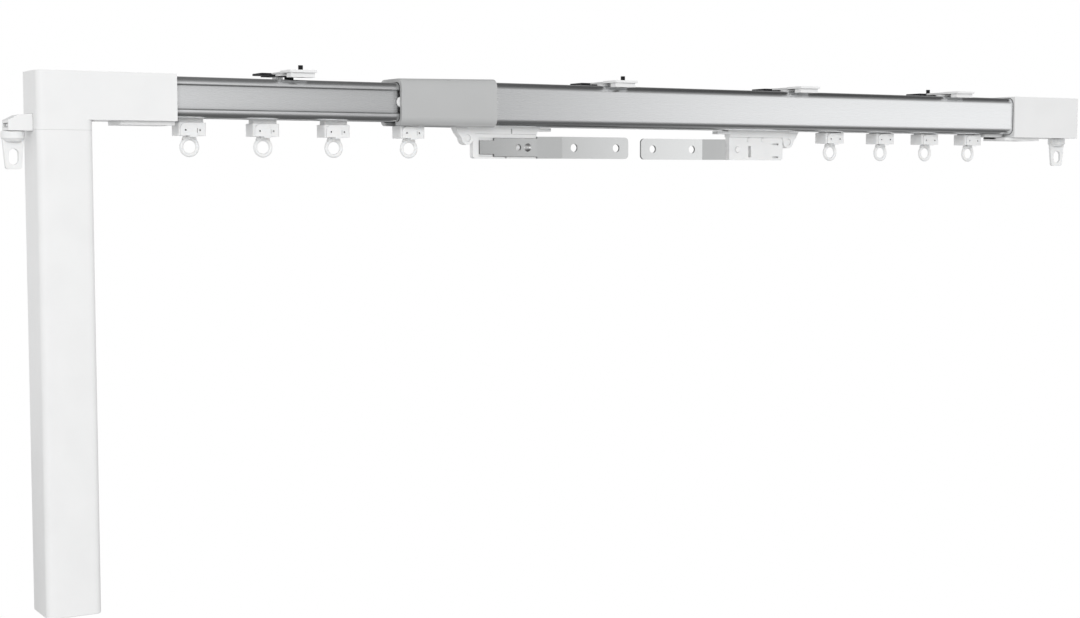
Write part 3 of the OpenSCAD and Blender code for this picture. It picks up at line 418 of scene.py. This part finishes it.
def pale_hub(name):
    """A finished latch whose hub has a bare pale rim: the upright faces on the hub's circle."""
    latch = finished(name, 0.25 * MM)
    axis = Vector((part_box(name)[1].x - HUB_R, 0))
    latch.data.materials.append(white)
    for face in latch.data.polygons:
        out = face.center.to_2d() - axis
        if abs(out.length - HUB_R) < 0.1 * MM and out.normalized().dot(face.normal.to_2d()) > 0.95:
            face.material_index = 1


finished("narrow_rail", 0.8 * MM, ribs)
finished("wide_rail", 0.2 * MM)
for name in nodes:
    if "_ring_" in name:
        finished(name, 0.25 * MM)
    if name.endswith("_latch"):
        pale_hub(name)
for name in ("left_arm_rivets", "right_arm_rivets", "sleeve_guides", "set_button"):
    finished(name, 0.15 * MM)


# toothed belt round both pulleys, sized to their distance when the scene is built

def make_belt():
    low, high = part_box("drive_belt")
    drive = middle("drive_pulley")
    idler = middle("idler_pulley")
    outer_r = (high.y - low.y) / 2
    back_t = 0.8 * MM
    tooth_t = 0.6 * MM
    tooth_pitch = 2.513 * MM
    pitch_r = outer_r - 0.7 * MM
    straight = idler.x - drive.x
    turn = math.pi * pitch_r
    total = 2 * (straight + turn)
    teeth = round(total / tooth_pitch)

    def on_path(s):
        """Point of the pitch line and its outward direction at a length s round the loop."""
        if s < straight:
            return Vector((drive.x + s, -pitch_r)), Vector((0, -1))
        s -= straight
        if s < turn:
            angle = s / pitch_r - math.pi / 2
            out = Vector((math.cos(angle), math.sin(angle)))
            return Vector((idler.x, 0)) + out * pitch_r, out
        s -= turn
        if s < straight:
            return Vector((idler.x - s, pitch_r)), Vector((0, 1))
        angle = (s - straight) / pitch_r + math.pi / 2
        out = Vector((math.cos(angle), math.sin(angle)))
        return Vector((drive.x, 0)) + out * pitch_r, out

    work = bmesh.new()
    loops = []
    # each tooth: root, flank up, flat tip, flank down
    for i in range(teeth):
        for share, depth in ((0.0, 0.0), (0.38, 0.0), (0.52, tooth_t), (0.86, tooth_t)):
            point, out = on_path(total * (i + share) / teeth % total)
            outer = point + out * (outer_r - pitch_r)
            inner = point + out * (outer_r - pitch_r - back_t - depth)
            loops.append([work.verts.new((p.x, p.y, z)) for p, z in
                          ((inner, low.z), (inner, high.z), (outer, high.z), (outer, low.z))])
    for a, b in zip(loops, loops[1:] + loops[:1]):
        for k in range(4):
            work.faces.new((a[k], a[(k + 1) % 4], b[(k + 1) % 4], b[k]))
    bmesh.ops.recalc_face_normals(work, faces=work.faces)
    belt = mesh_object("toothed_belt", work, rubber)
    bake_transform(belt)
    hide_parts("drive_belt")


make_belt()


# screws with a cross recess in each head

RECESS_DEPTH = 0.55 * MM
RECESS_REACH = 0.62   # of the head's radius
RECESS_WIDTH = 0.24   # of the recess's reach


def islands(mesh):
    """Low and high corner of each separate solid of a mesh."""
    work = bmesh.new()
    work.from_mesh(mesh)
    bmesh.ops.remove_doubles(work, verts=work.verts, dist=SAME_POINT)
    known = set()
    found = []
    for seed in work.verts:
        if seed in known:
            continue
        known.add(seed)
        stack = [seed]
        points = []
        while stack:
            vert = stack.pop()
            points.append(vert.co.copy())
            for edge in vert.link_edges:
                other = edge.other_vert(vert)
                if other not in known:
                    known.add(other)
                    stack.append(other)
        found.append([Vector([pick(p[axis] for p in points) for axis in range(3)]) for pick in (min, max)])
    work.free()
    return found


def box_mesh(low, high):
    work = bmesh.new()
    corners = [work.verts.new((x, y, z)) for z in (low.z, high.z) for x, y in
               ((low.x, low.y), (high.x, low.y), (high.x, high.y), (low.x, high.y))]
    for face in ((3, 2, 1, 0), (4, 5, 6, 7), (0, 1, 5, 4), (1, 2, 6, 5), (2, 3, 7, 6), (3, 0, 4, 7)):
        work.faces.new([corners[k] for k in face])
    mesh = bpy.data.meshes.new("cross")
    work.to_mesh(mesh)
    work.free()
    return mesh


def carve(copy, cutter):
    """Takes the cutter away from the copy and works the copy's modifiers into its mesh."""
    tool = bpy.data.objects.new("cutter", cutter)
    scene.collection.objects.link(tool)
    cut = copy.modifiers.new("recess", "BOOLEAN")
    cut.operation = "DIFFERENCE"
    cut.object = tool
    shaped = bpy.data.meshes.new_from_object(copy.evaluated_get(bpy.context.evaluated_depsgraph_get()))
    copy.modifiers.clear()
    copy.data = shaped
    bpy.data.objects.remove(tool)


def recessed_screws(name):
    copy = finished(name, 0.2 * MM)
    for low, high in islands(nodes[name].data):
        centre = (low + high) / 2
        reach = RECESS_REACH * (high.x - low.x) / 2
        half = RECESS_WIDTH * reach
        for along, beside in ((reach, half), (half, reach)):
            carve(copy, box_mesh(Vector((centre.x - along, centre.y - beside, low.z - RECESS_DEPTH)),
                                 Vector((centre.x + along, centre.y + beside, low.z + RECESS_DEPTH))))


for name in ("drive_box_screws", "end_box_screws", "first_bracket_screw", "bracket_screws"):
    recessed_screws(name)


# contact pins in the power inlet of the bottom cap

INLET_ROOF = 8 * MM     # over the cap's underside
INLET_SHIFT = 6 * MM    # from the middle of the motor tube
PIN_SHIFT = 1.9 * MM    # from the middle of the inlet
PIN_R = 0.5 * MM
PIN_L = 5 * MM
PIN_ROOT = 0.3 * MM


def lathe(name, profile, centre, material, body, segments=20):
    """A turned piece drawn as a profile of (radius, height) pairs."""
    work = bmesh.new()
    rings = []
    for radius, z in profile:
        if radius == 0:
            rings.append([work.verts.new((centre[0], centre[1], centre[2] + z))])
            continue
        rings.append([work.verts.new((centre[0] + radius * math.cos(math.tau * k / segments),
                                      centre[1] + radius * math.sin(math.tau * k / segments),
                                      centre[2] + z)) for k in range(segments)])
    for a, b in zip(rings, rings[1:]):
        for k in range(segments):
            n = (k + 1) % segments
            corners = [a[k % len(a)], a[n % len(a)], b[n % len(b)], b[k % len(b)]]
            work.faces.new(list(dict.fromkeys(corners)))
    bmesh.ops.recalc_face_normals(work, faces=work.faces)
    for face in work.faces:
        face.smooth = True
    obj = mesh_object(name, work, material)
    obj.data.set_sharp_from_angle(angle=math.radians(40))
    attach(obj, body)


cap_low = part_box("motor_bottom_cap")[0]
inlet = Vector((middle("motor_housing").x + INLET_SHIFT, 0, cap_low.z + INLET_ROOF))
for side in (-1, 1):
    lathe(f"inlet_contact_{(side + 3) // 2}",
          [(0, -PIN_L), (PIN_R * 0.6, -PIN_L), (PIN_R, -PIN_L + PIN_R), (PIN_R, PIN_ROOT), (0, PIN_ROOT)],
          inlet + Vector((0, side * PIN_SHIFT, 0)), brass, "drive_unit")


# floor: pale, and fading into the white background towards its rim

FLOOR_RADIUS = 4.5
FLOOR_PLACE = (0.25, 0.0, -3.6)
FLOOR_FADE = (0.6, 4.2)    # metres from the floor's middle
RIM_GLOW = (0.6, 1.0)      # for rays that only light the object, and for rays that show the background
ROUND = 96


def stage_piece(name, work, material, location):
    obj = mesh_object(name, work, material)
    obj.location = location
    return obj


def disc(radius):
    work = bmesh.new()
    bmesh.ops.create_circle(work, cap_ends=True, radius=radius, segments=ROUND)
    return work


def pale_floor():
    material, tree, shader, place = new_material("pale_floor")
    tint = noise(tree, place, (3, 3, 3), 2.0)
    tree.links.new(two_tone(tree, tint, (0.86, 0.86, 0.86), (0.9, 0.9, 0.9)), shader.inputs["Base Color"])
    shader.inputs["Roughness"].default_value = 0.8
    fade = mapped(tree, length_of(tree, place), FLOOR_FADE, kind="SMOOTHSTEP")
    rim = tree.nodes.new("ShaderNodeEmission")
    tree.links.new(mapped(tree, seen(tree), (0.0, 1.0), RIM_GLOW), rim.inputs["Strength"])
    surface = mixed(tree, fade, shader.outputs["BSDF"], rim.outputs["Emission"])
    tree.links.new(surface, tree.nodes["Material Output"].inputs["Surface"])
    return material


floor = stage_piece("floor", disc(FLOOR_RADIUS), pale_floor(), FLOOR_PLACE)
floor.visible_glossy = False


# world: white where it is seen or mirrored, softer where it lights the object

SOFT_LEVEL = 0.68
WHITE_LEVEL = 1.0

world = bpy.data.worlds.new("studio")
scene.world = world
world.use_nodes = True
sky = world.node_tree
sky.nodes.clear()


def background(strength):
    node = sky.nodes.new("ShaderNodeBackground")
    node.inputs["Color"].default_value = (1.0, 1.0, 1.0, 1.0)
    node.inputs["Strength"].default_value = strength
    return node.outputs["Background"]


surface = mixed(sky, seen(sky), background(SOFT_LEVEL), background(WHITE_LEVEL))
sky.links.new(surface, sky.nodes.new("ShaderNodeOutputWorld").inputs["Surface"])


# grey cards that only reflections show: overhead, underfoot and behind the camera

CARD_RADIUS = 6.0
CARD_X = (-3.0, 3.2)
CARD_Z = (-0.6, 0.85)


def card_material(name, measure, stops):
    """Glow whose level follows stops of (metres, level) along a measure of the card's own coordinates."""
    material, tree, shader, place = new_material(name)
    tree.nodes.remove(shader)
    value = length_of(tree, place) if measure == "radius" else axis_of(tree, place, "X")
    start, end = stops[0][0], stops[-1][0]
    ramp = tree.nodes.new("ShaderNodeValToRGB")
    elements = ramp.color_ramp.elements
    while len(elements) < len(stops):
        elements.new(0.5)
    for element, (where, level) in zip(elements, stops):
        element.position = (where - start) / (end - start)
        element.color = (level, level, level, 1)
    tree.links.new(mapped(tree, value, (start, end)), ramp.inputs["Fac"])
    glow = tree.nodes.new("ShaderNodeEmission")
    tree.links.new(ramp.outputs["Color"], glow.inputs["Color"])
    tree.links.new(glow.outputs["Emission"], tree.nodes["Material Output"].inputs["Surface"])
    return material


def card(name, work, location, measure, stops):
    obj = stage_piece(name, work, card_material(name, measure, stops), location)
    obj.visible_camera = False
    obj.visible_diffuse = False
    obj.visible_shadow = False
    obj.visible_transmission = False


def upright():
    work = bmesh.new()
    (left, right), (bottom, top) = CARD_X, CARD_Z
    work.faces.new([work.verts.new((x, 0, z)) for x, z in
                    ((left, bottom), (right, bottom), (right, top), (left, top))])
    return work


card("overhead_card", disc(CARD_RADIUS), (1.2, 0.0, 1.0), "radius", [
    (0.0, 0.05), (0.36, 0.07), (0.58, 0.1), (1.0, 0.16), (1.7, 0.3), (3.0, 0.5), (6.0, 0.72)])
card("underfoot_card", disc(CARD_RADIUS), (1.2, 0.0, -0.98), "radius", [
    (0.0, 0.42), (0.25, 0.28), (0.5, 0.08), (1.0, 0.1), (1.7, 0.22), (3.0, 0.4), (6.0, 0.6)])
card("behind_camera_card", upright(), (0.0, -3.2, 0.0), "x", [
    (-1.0, 0.5), (0.4, 0.6), (0.85, 0.95), (1.0, 0.87), (1.21, 0.64), (1.42, 0.5), (1.5, 0.22), (1.57, 0.05),
    (1.77, 0.05), (1.9, 0.48), (2.1, 0.52), (2.25, 0.69), (2.45, 0.93), (2.7, 1.0), (3.2, 1.0)])


# one soft lamp, to the left of the camera and above it

KEY_PLACE = Vector((-1.0, -2.7, 0.9))
KEY_TARGET = Vector((0.1, 0.0, -0.1))
KEY_SIZE = 1.6
KEY_POWER = 38.0

key_data = bpy.data.lights.new("key", "AREA")
key_data.shape = "DISK"
key_data.size = KEY_SIZE
key_data.energy = KEY_POWER
key = bpy.data.objects.new("key", key_data)
key.location = KEY_PLACE
key.rotation_euler = (KEY_TARGET - KEY_PLACE).to_track_quat("-Z", "Y").to_euler()
key.visible_glossy = False
scene.collection.objects.link(key)
